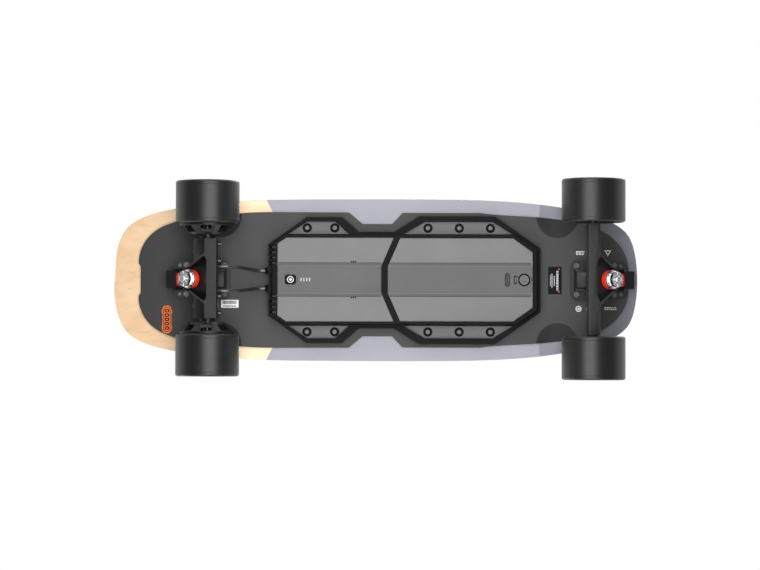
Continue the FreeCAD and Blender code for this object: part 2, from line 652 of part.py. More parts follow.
def make_rear_hanger():
    profile = [(-15, -11), (-13, -14.5), (3.4, -14.5), (12.6, -9), (19.5, -1), (19.5, 6), (14, 13),
               (-11, 13), (-15, 9)]
    beam = side_prism(profile, -56, 56)
    collars = [rod(V(0, y, 0), 10.5, 6, ALONG_Y) for y in (-60.5, 54.5)]
    cable_y, cable_z = CABLE_ROUTE[0][1], CABLE_ROUTE[0][2] - AXLE_Z
    inboard = V(-1, 0, 0)
    bosses = [rod(V(-13, side * cable_y, cable_z), 4.2, 6.5, inboard) for side in (-1, 1)]
    exits = [rod(V(-10, side * cable_y, cable_z), CABLE_R + CABLE_ROOM, 12, inboard)
             for side in (-1, 1)]
    bores = [rod(V(0, y, 0), SHAFT_R, 30, ALONG_Y) for y in (-SHAFT_START - 30, SHAFT_START)]
    yoke, pocket = hanger_yoke((-2, 27), (3.3, 36), -14.5)
    return finish_hanger(fuse([beam] + bosses + collars).cut(exits), yoke, pocket, bores)


def make_clamp_screws():
    """Socket screws that clamp the motor shafts, on the inboard face of the rear beam."""
    screws = []
    for y in (-49, -25, 25, 49):
        head = rod(V(-15, y, -2), 3.0, 4.5, V(-1, 0, 0))
        screws.append(head.cut(hexagon(1.6, 1.8, V(-19.5, y, -2), V(1, 0, 0))))
    for y in (-39, 39):
        screws.append(rod(V(19.5, y, 2.5), 1.3, 1.6, V(1, 0, 0)))
    return screws


def make_riser_pad():
    pad = chamfered_plate(-28.5, 51, 26.7, 6, PLATE_HIGH, COVER_Z - AXLE_Z)
    return pad.cut([rod(V(u, y, 50), BOLT_HOLE_R, 30) for u in BOLT_US for y in (-BOLT_Y, BOLT_Y)])


def make_truck(name, axle_x, side):
    save(name + "_baseplate", place(make_baseplate(), axle_x, side))
    save(name + "_roadside_bushing", place(make_bushing(ROAD_BUSHING, 13.4), axle_x, side))
    save(name + "_boardside_bushing", place(make_bushing(BOARD_BUSHING, 13.0), axle_x, side))


def make_truck_pairs():
    """Pieces that are the same on both trucks, each kind a group in one node."""
    kinds = {"riser_pads": make_riser_pad(), "kingpins": make_kingpin(),
             "kingpin_nuts": make_kingpin_nut(), "cup_washers": make_cup_washer(),
             "pivot_cups": make_pivot_cup()}
    for node, piece in kinds.items():
        save(node, place(piece, FRONT_AXLE_X, 1), place(piece, REAR_AXLE_X, -1))


def make_truck_bolts():
    head_z = DECK_Z + DECK_THICK
    low = AXLE_Z + PLATE_LOW - 11.0
    bolts, nuts = [], []
    for x, y in truck_bolt_places():
        shank = rod(V(x, y, low), BOLT_R, head_z - 3.0 - low)
        head = Part.makeCone(BOLT_R, 4.9, 2.9, V(x, y, head_z - 3.0))
        bolts.append(fuse([shank, head]).cut(hexagon(1.7, 1.8, V(x, y, head_z - 1.8))))
        seat = AXLE_Z + PLATE_LOW - 1.4
        nuts.append(hexagon(4.6, 5.5, V(x, y, seat - 5.5)).cut(rod(V(x, y, seat - 6), BOLT_R, 7)))
    save("truck_bolts", *bolts)
    save("truck_bolt_nuts", *nuts)


# ---- wheels ----------------------------------------------------------------------------
def tyre_profile(y0, y1):
    """Half section of a urethane tyre with rounded lips, as (radius, y)."""
    lip = 5.0
    arc = []
    for i in range(5):
        turn = math.radians(22.5 * i)
        arc.append((WHEEL_R - lip + lip * math.cos(turn), y1 - lip + lip * math.sin(turn)))
    other = [(r, y0 + y1 - y) for r, y in reversed(arc)]
    return [(TYRE_BORE_R, y0 + 3)] + [(TYRE_BORE_R + 3, y0)] + other + arc + \
           [(TYRE_BORE_R + 3, y1), (TYRE_BORE_R, y1 - 3)]


def to_axle(shape, axle_x):
    piece = shape.copy()
    piece.translate(V(axle_x, 0, AXLE_Z))
    return piece


def make_front_wheel(name, sign):
    y0, y1 = FRONT_TYRE
    tyre = turned(tyre_profile(y0, y1), sign)
    save("front_tyre_" + name, to_axle(tyre, FRONT_AXLE_X))
    rim = turned([(28.5, y0 + 4), (TYRE_BORE_R, y0 + 4), (TYRE_BORE_R, y1 - 4), (28.5, y1 - 4)], sign)
    middle = (y0 + y1) / 2
    hub = turned([(11, y0 + 6), (14.5, y0 + 6), (14.5, y1 - 12), (11, y1 - 12)], sign)
    web = turned([(14.5, middle - 4), (28.5, middle - 4), (28.5, middle + 4), (14.5, middle + 4)], sign)
    spoke = Part.makeBox(15.5, 34, 5.2, V(13.5, middle - 17, -2.6))
    spokes = [s if sign > 0 else mirror(s) for s in spread(V(0, 0, 0), 6, spoke)]
    core = fuse([rim, hub, web] + spokes)
    save("front_wheel_core_" + name, to_axle(core, FRONT_AXLE_X))
    rings = []
    for inner in (y0 + 6, y1 - 19):
        rings.append(turned([(AXLE_R + RUNNING_FIT, inner), (11, inner), (11, inner + 7),
                             (AXLE_R + RUNNING_FIT, inner + 7)], sign))
    save("front_wheel_bearings_" + name, *[to_axle(r, FRONT_AXLE_X) for r in rings])


def make_front_axle():
    end = FRONT_TYRE[1] - 3
    axle = rod(V(0, -end, 0), AXLE_R, 2 * end, ALONG_Y)
    save("front_axle", to_axle(axle, FRONT_AXLE_X))
    nuts = []
    for sign in (-1, 1):
        outer = FRONT_TYRE[1] - 12 + 0.6
        washer = turned([(AXLE_R, outer), (6.2, outer), (6.2, outer + 1), (AXLE_R, outer + 1)], sign)
        base = V(0, sign * (outer + 1), 0)
        nut = hexagon(7.2, 6, base, V(0, sign, 0)).cut(rod(base, AXLE_R, 7, V(0, sign, 0)))
        inner = FRONT_TYRE[0] + 6 - 0.6
        spacer = turned([(AXLE_R, 80.2), (6.2, 80.2), (6.2, inner), (AXLE_R, inner)], sign)
        nuts += [fuse([washer, nut]), spacer]
    save("front_axle_nuts", *[to_axle(n, FRONT_AXLE_X) for n in nuts])


def make_rear_wheel(name, sign):
    y0, y1 = REAR_TYRE
    save("rear_tyre_" + name, to_axle(turned(tyre_profile(y0, y1), sign), REAR_AXLE_X))
    cone = turned([(16, 62), (26.5, 62), (28.5, 64), (39, 74.5), (39, 77.6), (33, 77.6),
                   (33, 81), (29.5, 81), (29.5, 75), (23, 66), (16, 66)], sign)
    window = box(-7.5, 7.5, 65.0, 74.0, 25.0, 45.0)
    windows = [s if sign > 0 else mirror(s) for s in spread(V(0, 0, 0), 8, window)]
    cone = cone.cut(windows)
    can = turned([(29.5, 80), (TYRE_BORE_R, 80), (TYRE_BORE_R, y1 - 3), (29.5, y1 - 3)], sign)
    face = turned([(14, y1 - 8), (29.6, y1 - 8), (29.6, y1 - 3), (24, y1 - 2), (0, y1 - 2), (0, y1 - 5),
                   (14, y1 - 5)], sign)
    holes = [s if sign > 0 else mirror(s)
             for s in spread(V(0, 0, 0), 6, rod(V(22, y1 - 4, 0), 2.2, 4, ALONG_Y))]
    shell = fuse([cone, can, face]).cut(holes)
    save("motor_can_" + name, to_axle(shell, REAR_AXLE_X))
    rings = []
    for inner, outer_r in ((62.4, 16), (y1 - 12, 14)):
        rings.append(turned([(SHAFT_R + RUNNING_FIT, inner), (outer_r, inner), (outer_r, inner + 4.4),
                             (SHAFT_R + RUNNING_FIT, inner + 4.4)], sign))
    save("motor_bearings_" + name, *[to_axle(r, REAR_AXLE_X) for r in rings])


def make_motor_insides():
    """Shafts and wound stators, fixed to the rear hanger."""
    shafts, stators = [], []
    for sign in (-1, 1):
        end = REAR_TYRE[1] - 6.5
        shaft = turned([(0, SHAFT_START), (SHAFT_R, SHAFT_START), (SHAFT_R, end), (0, end)], sign)
        shafts.append(to_axle(shaft, REAR_AXLE_X))
        stator = turned([(SHAFT_R, 84), (28.6, 84), (28.6, 124), (SHAFT_R, 124)], sign)
        slot = Part.makeBox(10, 42, 2.4, V(19, 83 if sign > 0 else -125, -1.2))
        stator = stator.cut(spread(V(0, 0, 0), 12, slot))
        stators.append(to_axle(stator, REAR_AXLE_X))
    save("motor_shafts", *shafts)
    save("motor_stators", *stators)


# ---- stickers --------------------------------------------------------------------------
def make_stickers():
    thin = 0.3
    save("rating_label", box(247.9, 267.3, -19.7, 19.7, COVER_Z - thin, COVER_Z))
    save("serial_sticker", box(-221.0, -196, 28.7, 40, COVER_Z - thin, COVER_Z))
    bar = rounded_slab(-298.7, 57, 14.5, 40, 6.5, COVER_Z - 20, COVER_Z + 20)
    save("tail_badge", bar.common(bent_layer(-COVER_THICK - 0.6, -COVER_THICK)))


make_deck()
make_base_cover()
make_enclosure_frame()
make_gasket()
make_panels()
make_flange_plates()
make_lug_screws()
make_power_button()
make_charge_port()
make_battery()
make_controller()
make_cable_glands()
make_motor_cables()
make_truck("front", FRONT_AXLE_X, 1)
make_truck("rear", REAR_AXLE_X, -1)
make_truck_pairs()
save("front_hanger", place(make_front_hanger(), FRONT_AXLE_X, 1))
save("rear_hanger", place(make_rear_hanger(), REAR_AXLE_X, -1))
save("rear_clamp_screws", *[place(s, REAR_AXLE_X, -1) for s in make_clamp_screws()])
make_truck_bolts()
for wheel_name, wheel_sign in (("left", 1), ("right", -1)):
    make_front_wheel(wheel_name, wheel_sign)
    make_rear_wheel(wheel_name, wheel_sign)
make_front_axle()
make_motor_insides()
make_stickers()
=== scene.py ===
"""Looks of the electric skateboard: materials, finer meshes, camera, light and floor.

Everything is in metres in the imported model's frame: +X nose, +Y rider's left, +Z up.
"""

import json
import math
import random

import bmesh
import bpy
from mathutils import Matrix, Vector


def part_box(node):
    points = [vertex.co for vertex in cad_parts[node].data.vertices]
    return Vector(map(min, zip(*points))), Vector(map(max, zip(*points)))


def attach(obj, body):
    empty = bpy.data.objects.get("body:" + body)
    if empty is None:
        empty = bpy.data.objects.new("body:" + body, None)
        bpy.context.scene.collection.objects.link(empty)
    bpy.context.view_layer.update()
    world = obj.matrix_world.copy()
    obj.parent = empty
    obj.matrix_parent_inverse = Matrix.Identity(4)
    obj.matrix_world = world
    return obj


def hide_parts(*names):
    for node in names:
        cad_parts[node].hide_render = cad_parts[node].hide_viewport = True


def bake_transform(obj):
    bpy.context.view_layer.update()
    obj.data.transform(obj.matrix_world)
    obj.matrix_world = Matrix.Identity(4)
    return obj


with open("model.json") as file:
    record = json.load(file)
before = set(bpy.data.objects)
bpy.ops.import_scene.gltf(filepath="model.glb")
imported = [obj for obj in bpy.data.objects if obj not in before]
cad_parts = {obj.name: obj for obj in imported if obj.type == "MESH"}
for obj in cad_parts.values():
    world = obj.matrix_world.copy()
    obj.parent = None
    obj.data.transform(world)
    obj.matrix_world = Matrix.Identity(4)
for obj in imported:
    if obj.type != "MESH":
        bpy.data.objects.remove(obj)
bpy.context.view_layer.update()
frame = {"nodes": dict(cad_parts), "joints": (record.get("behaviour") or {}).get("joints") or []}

NODES = frame["nodes"]
JOINTS = {joint["name"]: joint for joint in frame["joints"]}
SIDES = (("left", 1), ("right", -1))

# ---- places read from the frame ----------------------------------------------------------
AXLE_Z = JOINTS["front_left_wheel_spin"]["pos_m"][2]
FRONT_X = JOINTS["front_left_wheel_spin"]["pos_m"][0]
REAR_X = JOINTS["rear_left_wheel_spin"]["pos_m"][0]
COVER_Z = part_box("base_cover")[0].z
DECK_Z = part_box("deck_board")[0].z
DECK_THICK = 0.012
WHEEL_R = AXLE_Z
TAIL_BEND_X = -0.288                  # where the tail starts to rise
TAIL_BEND_R = 0.140
TAIL_ANGLE = math.radians(20)
PLIES = 7
DISH_XS = (0.261, -0.222)             # middles of the cover's shallow wheel wells
DISH_Y = 0.091
DISH_R = 0.0304
CHANNEL_HALF = 0.0195                 # half width of the panels' darker middle channel

# ---- thin marks --------------------------------------------------------------------------
MARK = 0.0002                         # how far a groove or print stands out from a face
SUNK = 0.0001                         # how far it reaches into the face
CAP_MARK = 0.0003                     # the same for the charge cap's marks
FILM = 0.00008                        # and for printed films
FILM_SUNK = 0.00005
BADGE_THICK = 0.0005
# where the sloping steps of the two panels start and end
STEP_ENDS = {"esc_cover_panel": (0.0010, 0.0088), "battery_cover_panel": (0.0206, -0.0040)}
# each strip of a step: material, its two distances from the centre line, how far it stands out. The
# strips paint the step's light: painted shade on the slope, a painted shadow line at its outer edge and
# a painted highlight at its inner edge
STEP_STRIPS = (("panel_shade", 0.0196, 0.0238, 0.00006), ("dark", 0.0238, 0.0243, 0.00010),
               ("panel_lit", 0.0190, 0.0196, 0.00010))
# bars on the rating label: two distances along x, two along y, from its low corner
LABEL_ROWS = ((0.011, 0.0155, 0.006, 0.034), (0.0078, 0.0098, 0.013, 0.028),
              (0.0045, 0.0065, 0.010, 0.031), (0.0025, 0.0038, 0.012, 0.028))

# ---- trucks ------------------------------------------------------------------------------
KING_TILT = math.radians(40.0)
RING_OUT, RING_UP = 0.0195, 0.022     # the hanger ring's centre, from the axle
BUSHING_SPANS = {"roadside": (0.004, 0.0125), "boardside": (-0.017, -0.004)}
BUSHING_R, BUSHING_BORE, BUSHING_LIP = 0.01345, 0.0048, 0.0012
RIB_COUNT, RIB_GAP = 14, 7            # every seventh rib is left out


# ---- material tools ----------------------------------------------------------------------
class Shader:
    """A node material that is built up by short calls."""

    def __init__(self, name, color=(0.5, 0.5, 0.5), rough=0.5, metal=0.0, **inputs):
        self.material = bpy.data.materials.new(name)
        self.material.use_nodes = True
        self.nodes = self.material.node_tree.nodes
        self.links = self.material.node_tree.links
        self.surface = self.nodes["Principled BSDF"]
        self.put("Base Color", (*color, 1.0))
        self.put("Roughness", rough)
        self.put("Metallic", metal)
        for key, value in inputs.items():
            self.put(key.replace("_", " "), value)
        coordinates = self.nodes.new("ShaderNodeTexCoord")
        self.place = coordinates.outputs["Object"]
        self.normal = coordinates.outputs["Normal"]
        self.height = None

    def put(self, socket, value):
        if isinstance(value, bpy.types.NodeSocket):
            self.links.new(value, self.surface.inputs[socket])
        else:
            self.surface.inputs[socket].default_value = value

    def node(self, kind, inputs=(), **settings):
        made = self.nodes.new("ShaderNode" + kind)
        for key, value in settings.items():
            setattr(made, key, value)
        for key, value in dict(inputs).items():
            if isinstance(value, bpy.types.NodeSocket):
                self.links.new(value, made.inputs[key])
            else:
                made.inputs[key].default_value = value
        return made

    def math(self, operation, a, b=0.0, c=0.0, clamp=False):
        inputs = {0: a, 1: b, 2: c}
        return self.node("Math", inputs, operation=operation, use_clamp=clamp).outputs[0]

    def axes(self):
        """The object's x, y and z as separate values."""
        split = self.node("SeparateXYZ", {0: self.place})
        return split.outputs[0], split.outputs[1], split.outputs[2]

    def scaled(self, x=1.0, y=1.0, z=1.0):
        return self.node("Mapping", {"Vector": self.place, "Scale": (x, y, z)}).outputs[0]

    def noise(self, scale, detail=2.0, rough=0.5, vector=None, distortion=0.0):
        inputs = {"Vector": vector or self.place, "Scale": scale, "Detail": detail,
                  "Roughness": rough, "Distortion": distortion}
        return self.node("TexNoise", inputs).outputs["Fac"]

    def ramp(self, value, low, high, from_low=0.0, from_high=1.0):
        """Value moved linearly from one span to another, clamped."""
        inputs = {"Value": value, "From Min": from_low, "From Max": from_high,
                  "To Min": low, "To Max": high}
        return self.node("MapRange", inputs, clamp=True).outputs[0]

    def blend(self, factor, a, b):
        """Colour a where the factor is 0, and b where it is 1."""
        mix = self.node("Mix", data_type="RGBA")
        for slot, value in ((0, factor), (6, a), (7, b)):
            if isinstance(value, bpy.types.NodeSocket):
                self.links.new(value, mix.inputs[slot])
            elif slot:
                mix.inputs[slot].default_value = (*value, 1.0)
            else:
                mix.inputs[slot].default_value = value
        return mix.outputs[2]

    def bump(self, height, strength=0.3, distance=0.0002):
        inputs = {"Height": height, "Strength": strength, "Distance": distance}
        if self.height is not None:
            inputs["Normal"] = self.height
        self.height = self.node("Bump", inputs).outputs[0]
        self.put("Normal", self.height)
        return self


def moulded(name, color, rough, grain=900.0, depth=0.25, spread=0.12, gloss=0.5):
    """Moulded plastic: fine spark-eroded grain and slight changes of tone and gloss."""
    s = Shader(name, color, rough, Specular_IOR_Level=gloss)
    cloud = s.noise(18.0, 3.0)
    darker = tuple(c * (1 - spread) for c in color)
    lighter = tuple(min(1, c * (1 + spread)) for c in color)
    s.put("Base Color", s.blend(cloud, darker, lighter))
    s.put("Roughness", s.ramp(s.noise(60.0, 2.0), rough - 0.05, rough + 0.05))
    return s.bump(s.noise(grain, 2.0), depth, 0.0001).material


def brushed(name, color, rough, scale=(30, 900, 900), metal=1.0):
    """Turned or brushed metal with fine lines and a little wear."""
    s = Shader(name, color, rough, metal)
    lines = s.noise(1.0, 2.0, vector=s.scaled(*scale))
    s.put("Roughness", s.ramp(lines, rough - 0.08, rough + 0.1))
    smudge = s.noise(45.0, 3.0)
    s.put("Base Color", s.blend(smudge, tuple(c * 0.85 for c in color), color))
    return s.bump(lines, 0.08, 0.00005).material


def coated_metal(name, color, rough, gloss=0.26):
    """Black powder coat: a very fine orange-peel surface."""
    s = Shader(name, color, rough, 0.0, Specular_IOR_Level=gloss)
    s.put("Base Color", s.blend(s.noise(25.0, 3.0), tuple(c * 0.8 for c in color), color))
    s.put("Roughness", s.ramp(s.noise(90.0), rough - 0.06, rough + 0.06))
    return s.bump(s.noise(1600.0, 1.0), 0.15, 0.00008).material


def urethane(name, color, rough):
    """Dense smooth urethane with fine dust and faint mould lines round the tread."""
    s = Shader(name, color, rough, 0.0, Sheen_Weight=0.05)
    s.put("Base Color", s.blend(s.noise(30.0, 4.0), color, tuple(c * 1.35 for c in color)))
    s.put("Roughness", s.ramp(s.noise(110.0, 3.0), rough - 0.04, rough + 0.08))
    return s.bump(s.noise(700.0, 3.0), 0.12, 0.0001).material


def wood_material():
    """Maple veneer along X under a clear coat, painted lavender from the rear wheels forward."""
    s = Shader("maple_and_paint", rough=0.36, Coat_Weight=0.25, Coat_Roughness=0.25)
    x, y, z = s.axes()
    warp = s.noise(1.0, 5.0, 0.62, s.scaled(5.0, 130.0, 130.0), 0.5)
    rings = s.noise(1.0, 3.0, 0.55, s.scaled(2.2, 26.0, 26.0), 1.6)
    pale, honey, streak = (0.92, 0.67, 0.43), (0.83, 0.55, 0.32), (0.52, 0.29, 0.13)
    tone = s.blend(s.ramp(rings, 0.0, 1.0, 0.35, 0.68), pale, honey)
    wood = s.blend(s.ramp(warp, 0.0, 0.45, 0.56, 0.78), tone, streak)
    side = s.math("ABSOLUTE", y)
    past_wood = s.math("GREATER_THAN", s.math("ADD", x, s.math("MULTIPLY", side, 0.5)), -0.099)
    nose = s.math("GREATER_THAN", s.math("SUBTRACT", x, s.math("MULTIPLY", side, 0.05)), 0.2305)
    paint = s.blend(nose, (0.245, 0.245, 0.295), (0.125, 0.128, 0.165))
    paint = s.blend(s.math("MULTIPLY", s.noise(1.0, 3.0, 0.5, s.scaled(9.0, 60.0, 60.0)), 0.22), paint,
                    (0.34, 0.34, 0.39))
    face = s.blend(past_wood, wood, paint)
    s.put("Base Color", s.blend(edge_mask(s), face, ply_colour(s, x, z)))
    s.put("Roughness", s.ramp(s.noise(70.0, 3.0), 0.30, 0.44))
    return s.bump(warp, 0.12, 0.0002).material


def edge_mask(s):
    """1 on the board's upright edge, 0 on its faces."""
    split = s.node("SeparateXYZ", {0: s.normal})
    return s.math("LESS_THAN", s.math("ABSOLUTE", split.outputs[2]), 0.72)


def ply_colour(s, x, z):
    """Layers of veneer seen on the edge, which follow the bend of the tail."""
    behind = s.math("MAXIMUM", s.math("SUBTRACT", TAIL_BEND_X, x), 0.0)
    bent = s.math("MINIMUM", behind, TAIL_BEND_R * math.sin(TAIL_ANGLE))
    squared = s.math("MULTIPLY", bent, bent)
    drop = s.math("SQRT", s.math("SUBTRACT", TAIL_BEND_R ** 2, squared))
    rise = s.math("SUBTRACT", TAIL_BEND_R, drop)
    straight = s.math("MULTIPLY", s.math("SUBTRACT", behind, bent), math.tan(TAIL_ANGLE))
    depth = s.math("SUBTRACT", s.math("SUBTRACT", s.math("SUBTRACT", z, DECK_Z), rise), straight)
    layer = s.math("FLOOR", s.math("DIVIDE", depth, DECK_THICK / PLIES))
    odd = s.math("PINGPONG", layer, 1.0)
    grain = s.noise(1.0, 3.0, 0.5, s.scaled(60.0, 60.0, 900.0))
    light = s.blend(grain, (0.62, 0.40, 0.22), (0.74, 0.53, 0.33))
    return s.blend(odd, light, (0.30, 0.15, 0.07))


def grit_material():
    """Black grip tape: sharp grains; a few grains get a lighter colour, a painted glint, and a lower
    roughness.
    """
    s = Shader("grip_grit", (0.018, 0.018, 0.019), 0.9)
    grains = s.node("TexVoronoi", {"Vector": s.place, "Scale": 1400.0}).outputs["Distance"]
    painted_glint_and_gloss = s.math("GREATER_THAN", s.noise(2600.0, 1.0), 0.68)
    # The lighter colour of these grains is a painted glint; their lower roughness is real gloss.
    s.put("Base Color", s.blend(painted_glint_and_gloss, (0.014, 0.014, 0.015), (0.10, 0.10, 0.105)))
    s.put("Roughness", s.ramp(painted_glint_and_gloss, 0.92, 0.35))
    s.bump(s.noise(35.0, 3.0), 0.1, 0.0002)
    return s.bump(grains, 0.9, 0.0004).material


def sink_in_material(name, color, rough):
    """Nearly black paint whose tone darkens a little in patches at random; used for dark print and
    marks, as painted shade in sunk places, and as the painted shadow line on the panels' steps.
    """
    s = Shader(name, color, rough, Specular_IOR_Level=0.08)
    s.put("Base Color", s.blend(s.noise(30.0, 3.0), tuple(c * 0.6 for c in color), color))
    s.put("Roughness", s.ramp(s.noise(80.0, 2.0), rough - 0.05, rough + 0.08))
    return s.bump(s.noise(1200.0, 2.0), 0.2, 0.00008).material


MATERIALS = {}


def make_materials():
    m = MATERIALS
    m["cover"] = moulded("cover_plastic", (0.054, 0.054, 0.055), 0.48, 1100.0, gloss=0.2)
    # The dish colour is painted shade in the cover's shallow wheel wells.
    m["dish"] = moulded("dish_painted_shade", (0.014, 0.014, 0.015), 0.40, 1100.0, gloss=0.2)
    m["frame"] = moulded("frame_plastic", (0.005, 0.005, 0.0055), 0.40, 1300.0, gloss=0.06)
    m["panel"] = moulded("panel_plastic", (0.158, 0.158, 0.159), 0.50, 700.0, 0.5, gloss=0.35)
    m["panel_low"] = moulded("panel_channel", (0.112, 0.112, 0.113), 0.50, 700.0, 0.5, gloss=0.2)
    # panel_shade is painted shade for the panels' sloping steps (its grey also colours the charge cap's
    # ribs); panel_lit is a painted highlight on the steps' inner edges.
    m["panel_shade"] = moulded("panel_painted_shade", (0.082, 0.082, 0.084), 0.5, 700.0, 0.5, gloss=0.3)
    m["panel_lit"] = moulded("panel_painted_highlight", (0.17, 0.17, 0.173), 0.45, 700.0, 0.3)
    m["flange"] = moulded("flange_plastic", (0.130, 0.130, 0.132), 0.48, 800.0, 0.4, gloss=0.3)
    m["metal"] = coated_metal("black_metal", (0.008, 0.008, 0.009), 0.36)
    m["metal_plate"] = coated_metal("cast_plate", (0.013, 0.013, 0.014), 0.36)
    m["metal_front"] = coated_metal("front_hanger_metal", (0.020, 0.020, 0.0215), 0.36)
    # The edge colours below are lighter than their faces: painted highlights on the rounded edges, with
    # a real, smoother gloss.
    m["metal_edge"] = coated_metal("metal_edge_highlight", (0.060, 0.060, 0.062), 0.28, 0.6)
    m["frame_edge"] = moulded("frame_edge_highlight", (0.030, 0.030, 0.031), 0.35, 1300.0, 0.1, gloss=0.35)
    m["cover_edge"] = moulded("cover_edge_highlight", (0.110, 0.110, 0.112), 0.40, 1100.0, 0.1, gloss=0.4)
    m["panel_edge"] = moulded("panel_edge_highlight", (0.30, 0.30, 0.30), 0.40, 700.0, 0.1, gloss=0.5)
    m["tyre"] = urethane("tyre_urethane", (0.0056, 0.0056, 0.0060), 0.36)
    m["orange"] = urethane("bushing_urethane", (0.68, 0.036, 0.008), 0.30)
    m["chrome"] = brushed("chrome_nut", (0.70, 0.70, 0.71), 0.16)
    m["steel"] = brushed("turned_steel", (0.62, 0.62, 0.63), 0.28)
    m["screw"] = brushed("black_oxide", (0.07, 0.07, 0.074), 0.26)
    m["sink"] = brushed("black_anodised", (0.03, 0.03, 0.032), 0.40)
    m["rubber"] = moulded("cable_rubber", (0.022, 0.022, 0.022), 0.24, 500.0, gloss=0.9)
    m["white"] = moulded("white_film", (0.85, 0.85, 0.85), 0.4, 200.0, 0.05)
    m["print"] = moulded("pale_print", (0.50, 0.50, 0.50), 0.4, 200.0, 0.05)
    m["black_film"] = moulded("black_film", (0.003, 0.003, 0.008), 0.4, 200.0, 0.05, gloss=0.08)
    m["red_film"] = moulded("red_film", (0.60, 0.02, 0.015), 0.4, 200.0, 0.05)
    m["badge"] = moulded("badge_orange", (0.88, 0.19, 0.035), 0.4, 300.0, 0.1)
    m["light"] = moulded("light_pipe", (0.42, 0.43, 0.45), 0.3, 300.0, 0.05)
    m["copper"] = brushed("copper_windings", (0.16, 0.07, 0.035), 0.45)
    m["board"] = moulded("circuit_board", (0.02, 0.12, 0.05), 0.35, 300.0, 0.1)
    m["cell"] = moulded("cell_wrap", (0.05, 0.12, 0.4), 0.3, 200.0, 0.05)
    m["dark"] = sink_in_material("shaded_black", (0.004, 0.004, 0.004), 0.55)
    m["grip"] = grit_material()
    m["wood"] = wood_material()


# ---- mesh tools --------------------------------------------------------------------------
def finish_mesh(obj, angle=35.0):
    for polygon in obj.data.polygons:
        polygon.use_smooth = True
    obj.data.set_sharp_from_angle(angle=math.radians(angle))


def new_object(name, bm, material, body, angle=35.0):
    bmesh.ops.recalc_face_normals(bm, faces=bm.faces[:])
    data = bpy.data.meshes.new(name)
    bm.to_mesh(data)
    bm.free()
    obj = bpy.data.objects.new(name, data)
    bpy.context.scene.collection.objects.link(obj)
    data.materials.append(material)
    finish_mesh(obj, angle)
    if body:
        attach(obj, body)
    return obj


def softened(node, key, body, width, segments=3, angle=28.0, edge=None):
    """A CAD node's shape remade with rounded edges, which then stands for the node."""
    bm = bmesh.new()
    bm.from_mesh(NODES[node].data)
    bmesh.ops.remove_doubles(bm, verts=bm.verts[:], dist=2e-6)
    bmesh.ops.dissolve_limit(bm, angle_limit=math.radians(0.6), verts=bm.verts[:], edges=bm.edges[:])
    obj = new_object(node + "_skin", bm, MATERIALS[key], body, angle)
    bevel = obj.modifiers.new("edges", "BEVEL")
    bevel.width = width
    bevel.segments = segments
    bevel.limit_method = "ANGLE"
    bevel.angle_limit = math.radians(angle)
    bevel.use_clamp_overlap = True
    bevel.harden_normals = True
    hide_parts(node)
    if edge:
        highlit_edges(obj, edge)
    return obj


def highlit_edges(obj, key):
    """Gives the rounded edges a lighter colour, a painted highlight, and a smoother, glossier finish
    than the faces.
    """
    obj.data.materials.append(MATERIALS[key])
    obj.modifiers["edges"].material = len(obj.data.materials) - 1


def ring_points(axis_place, direction, radius, along, segments):
    """A circle's points round an axis, at a distance along it."""
    axis = Vector(direction).normalized()
    across = axis.orthogonal().normalized()
    up = axis.cross(across)
    middle = Vector(axis_place) + axis * along
    turns = [2 * math.pi * i / segments for i in range(segments)]
    return [middle + across * (radius * math.cos(t)) + up * (radius * math.sin(t)) for t in turns]


def revolve(bm, profile, place, direction, segments, loop=True):
    """Adds a profile of (radius, distance along the axis) turned round the axis."""
    rings = []
    for radius, along in profile:
        rings.append([bm.verts.new(p) for p in ring_points(place, direction, radius, along, segments)])
    pairs = list(zip(rings, rings[1:] + rings[:1])) if loop else list(zip(rings, rings[1:]))
    for low, high in pairs:
        for i in range(segments):
            j = (i + 1) % segments
            bm.faces.new((low[i], low[j], high[j], high[i]))
    return rings


def arc_profile(centre, radius, start, end, steps):
    """Points of an arc in (radius, along), from one angle to another in degrees."""
    spans = [math.radians(start + (end - start) * i / steps) for i in range(steps + 1)]
    return [(centre[0] + radius * math.cos(t), centre[1] + radius * math.sin(t)) for t in spans]


def block(bm, low, high):
    """A box between two opposite corners."""
    corners = [bm.verts.new((x, y, z)) for z in (low[2], high[2]) for x, y in
               ((low[0], low[1]), (high[0], low[1]), (high[0], high[1]), (low[0], high[1]))]
    for quad in ((0, 3, 2, 1), (4, 5, 6, 7), (0, 1, 5, 4), (1, 2, 6, 5), (2, 3, 7, 6), (3, 0, 4, 7)):
        bm.faces.new([corners[i] for i in quad])


def capsule(x, y, length, width, corner, count=8):
    """A rounded rectangle's outline about a centre."""
    points = []
    for sx, sy, start in ((1, 1, 0), (-1, 1, 90), (-1, -1, 180), (1, -1, 270)):
        cx, cy = x + sx * (length / 2 - corner), y + sy * (width / 2 - corner)
        for i in range(count + 1):
            turn = math.radians(start + 90 * i / count)
            points.append((cx + corner * math.cos(turn), cy + corner * math.sin(turn)))
    return points


def plate(bm, outline, z0, z1, hole=None):
    """A flat plate between two heights, with an optional hole of as many points."""
    def ring(points, z):
        return [bm.verts.new((x, y, z)) for x, y in points]
    low, high = ring(outline, z0), ring(outline, z1)
    walls = [(low, high)]
    if hole:
        inner_low, inner_high = ring(hole, z0), ring(hole, z1)
        walls += [(inner_high, inner_low), (inner_low, low), (high, inner_high)]
    else:
        bm.faces.new(low)
        bm.faces.new(high)
    for a, b in walls:
        for i in range(len(a)):
            j = (i + 1) % len(a)
            bm.faces.new((a[i], a[j], b[j], b[i]))


def centre(node):
    low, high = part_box(node)
    return (low + high) / 2


# ---- board -------------------------------------------------------------------------------
def make_board():
    softened("deck_board", "wood", "board", 0.0016, 4, 40)
    softened("grip_tape", "grip", "board", 0.0004, 1, 40)


